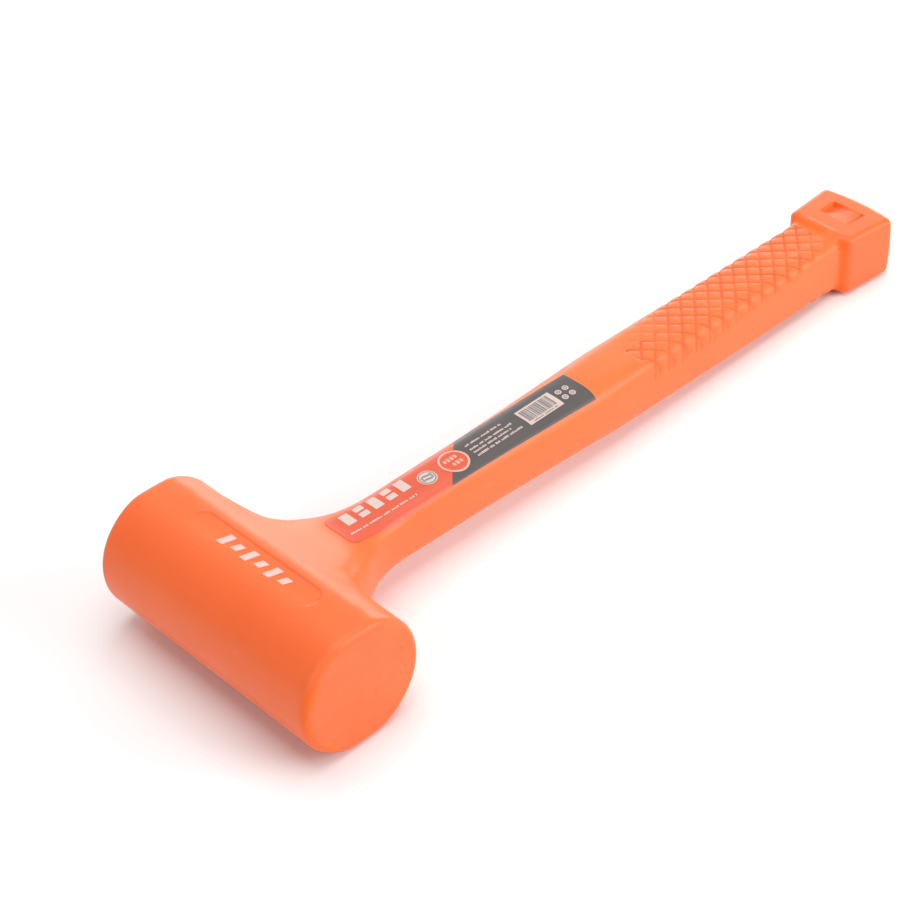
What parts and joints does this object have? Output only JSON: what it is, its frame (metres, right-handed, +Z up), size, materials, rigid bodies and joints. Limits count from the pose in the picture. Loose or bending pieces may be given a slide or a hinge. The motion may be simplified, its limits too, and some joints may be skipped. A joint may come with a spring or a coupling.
{
  "type": "dead blow mallet",
  "caption": "Moulded dead blow mallet with a soft round head, flat striking faces, a waisted handle, a knurled grip, a flared square pommel and loose shot sliding inside.",
  "frame": {"origin": "centre of the base of the bounding box, on the floor the mallet lies on", "axes": "+Y along the handle from the head toward the pommel, +X across the head from one striking face to the other, +Z up as it lies on its side"},
  "size_m": [0.096, 0.3094, 0.0438],
  "materials": {
    "jacket": "soft satin moulding",
    "canister_steel": "drawn tube",
    "weld": "weld bead",
    "rod_steel": "hot rolled bar",
    "shot_steel": "dull balls",
    "film_red": "satin film",
    "film_dark": "satin film",
    "ink_white": "printed ink",
    "ink_grey": "printed ink",
    "ink_head": "stamped ink"
  },
  "bodies": {
    "mallet": {"jacket": "jacket", "canister_tube": "canister_steel", "canister_cap_a": "canister_steel", "canister_cap_b": "canister_steel", "seam_weld_a": "weld", "seam_weld_b": "weld", "handle_rod": "rod_steel", "rod_weld": "weld", "label_red": "film_red", "label_dark": "film_dark", "label_print": "ink_white", "label_print_grey": "ink_grey", "head_mark": "ink_head"},
    "shot": {"shot_charge": "shot_steel"}
  },
  "joints": [
    {"name": "shot_slide", "type": "slide", "parent": "mallet", "child": "shot", "axis": [1, 0, 0], "range_m": [-0.0138, 0.0138]}
  ]
}
